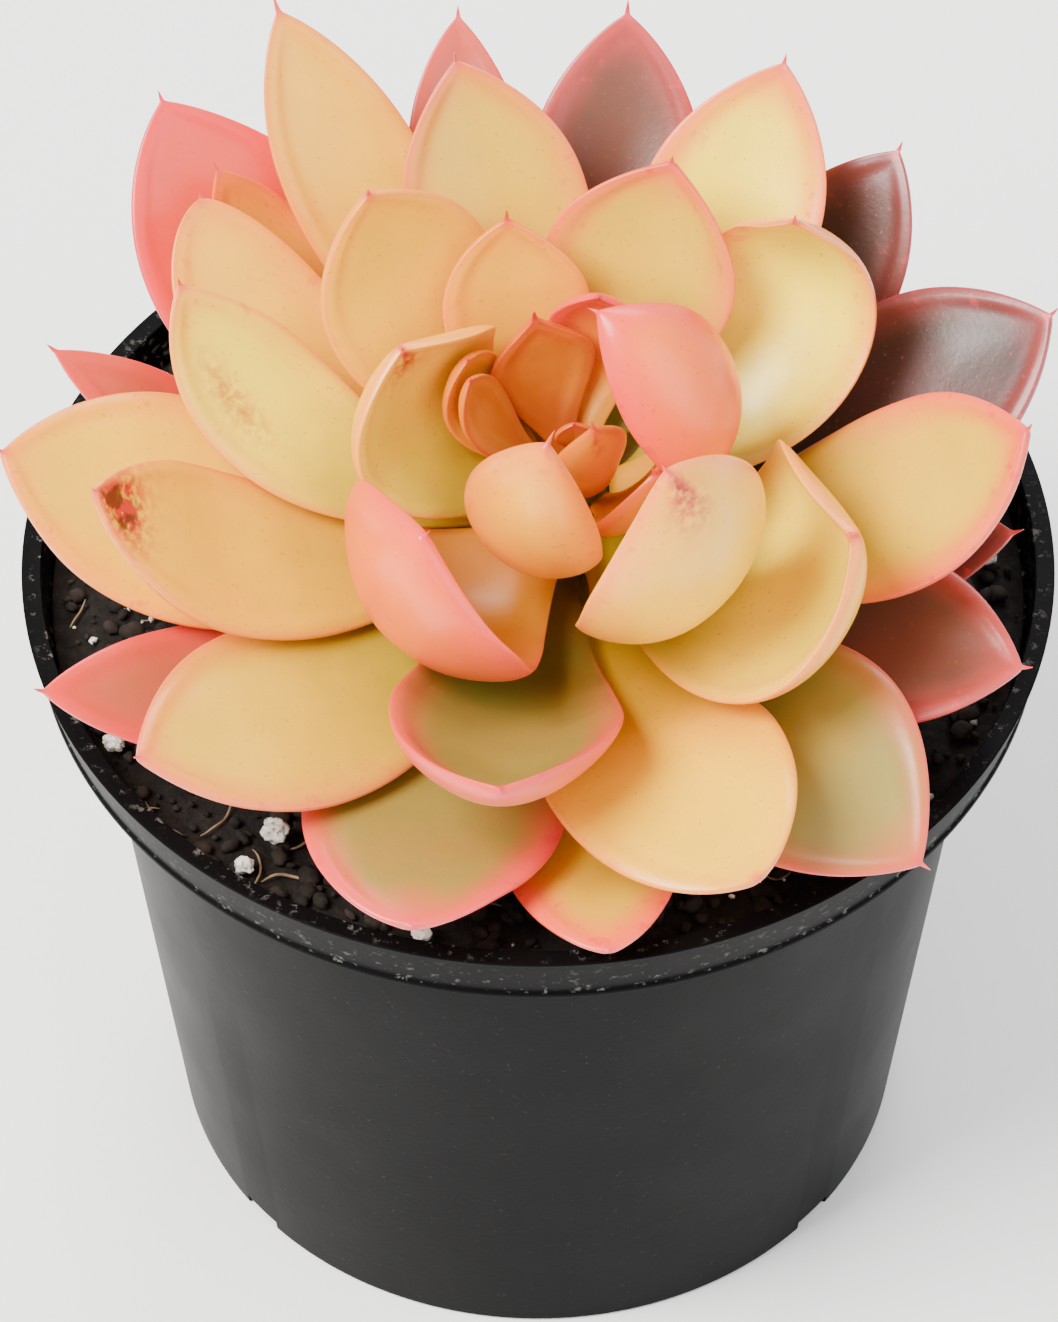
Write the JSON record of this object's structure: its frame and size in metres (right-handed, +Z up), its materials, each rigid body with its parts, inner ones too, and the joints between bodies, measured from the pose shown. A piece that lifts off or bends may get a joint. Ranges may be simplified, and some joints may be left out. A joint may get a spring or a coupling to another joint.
{
  "type": "potted succulent",
  "caption": "Rosette of thick, cupped, pointed leaves leaning out of a round tapered nursery pot filled with dark potting mix.",
  "frame": {"origin": "centre of the pot's foot, on the surface that the pot stands on", "axes": "+Z up along the pot's axis; the rosette leans towards -Y"},
  "size_m": [0.1058, 0.1066, 0.128],
  "materials": {
    "heart_leaf": "waxy satin skin of a living leaf",
    "inner_leaf": "waxy satin skin of a living leaf",
    "middle_leaf": "waxy satin skin of a living leaf",
    "outer_leaf": "waxy satin skin of a living leaf",
    "low_leaf": "waxy satin skin of a living leaf",
    "stem_bark": "matte bark",
    "potting_mix": "matte, crumbly peat",
    "perlite": "matte, porous",
    "pot_plastic": "satin moulded plastic"
  },
  "bodies": {
    "root": {"heart_leaf_1": "heart_leaf", "heart_leaf_2": "heart_leaf", "heart_leaf_3": "heart_leaf", "heart_leaf_4": "heart_leaf", "heart_leaf_5": "heart_leaf", "inner_leaf_1": "inner_leaf", "inner_leaf_2": "inner_leaf", "inner_leaf_3": "inner_leaf", "inner_leaf_4": "inner_leaf", "inner_leaf_5": "inner_leaf", "inner_leaf_6": "inner_leaf", "inner_leaf_7": "inner_leaf", "inner_leaf_8": "inner_leaf", "inner_leaf_9": "inner_leaf", "middle_leaf_1": "middle_leaf", "middle_leaf_2": "middle_leaf", "middle_leaf_3": "middle_leaf", "middle_leaf_4": "middle_leaf", "middle_leaf_5": "middle_leaf", "middle_leaf_6": "middle_leaf", "middle_leaf_7": "middle_leaf", "middle_leaf_8": "middle_leaf", "middle_leaf_9": "middle_leaf", "outer_leaf_1": "outer_leaf", "outer_leaf_2": "outer_leaf", "outer_leaf_3": "outer_leaf", "outer_leaf_4": "outer_leaf", "outer_leaf_5": "outer_leaf", "outer_leaf_6": "outer_leaf", "outer_leaf_7": "outer_leaf", "outer_leaf_8": "outer_leaf", "outer_leaf_9": "outer_leaf", "outer_leaf_10": "outer_leaf", "outer_leaf_11": "outer_leaf", "outer_leaf_12": "outer_leaf", "low_leaf_1": "low_leaf", "low_leaf_2": "low_leaf", "low_leaf_3": "low_leaf", "low_leaf_4": "low_leaf", "low_leaf_5": "low_leaf", "low_leaf_6": "low_leaf", "low_leaf_7": "low_leaf", "nursery_pot": "pot_plastic", "soil": "potting_mix", "stem": "stem_bark", "perlite_1": "perlite", "perlite_2": "perlite", "perlite_3": "perlite", "perlite_4": "perlite", "perlite_5": "perlite", "perlite_6": "perlite"}
  },
  "joints": []
}
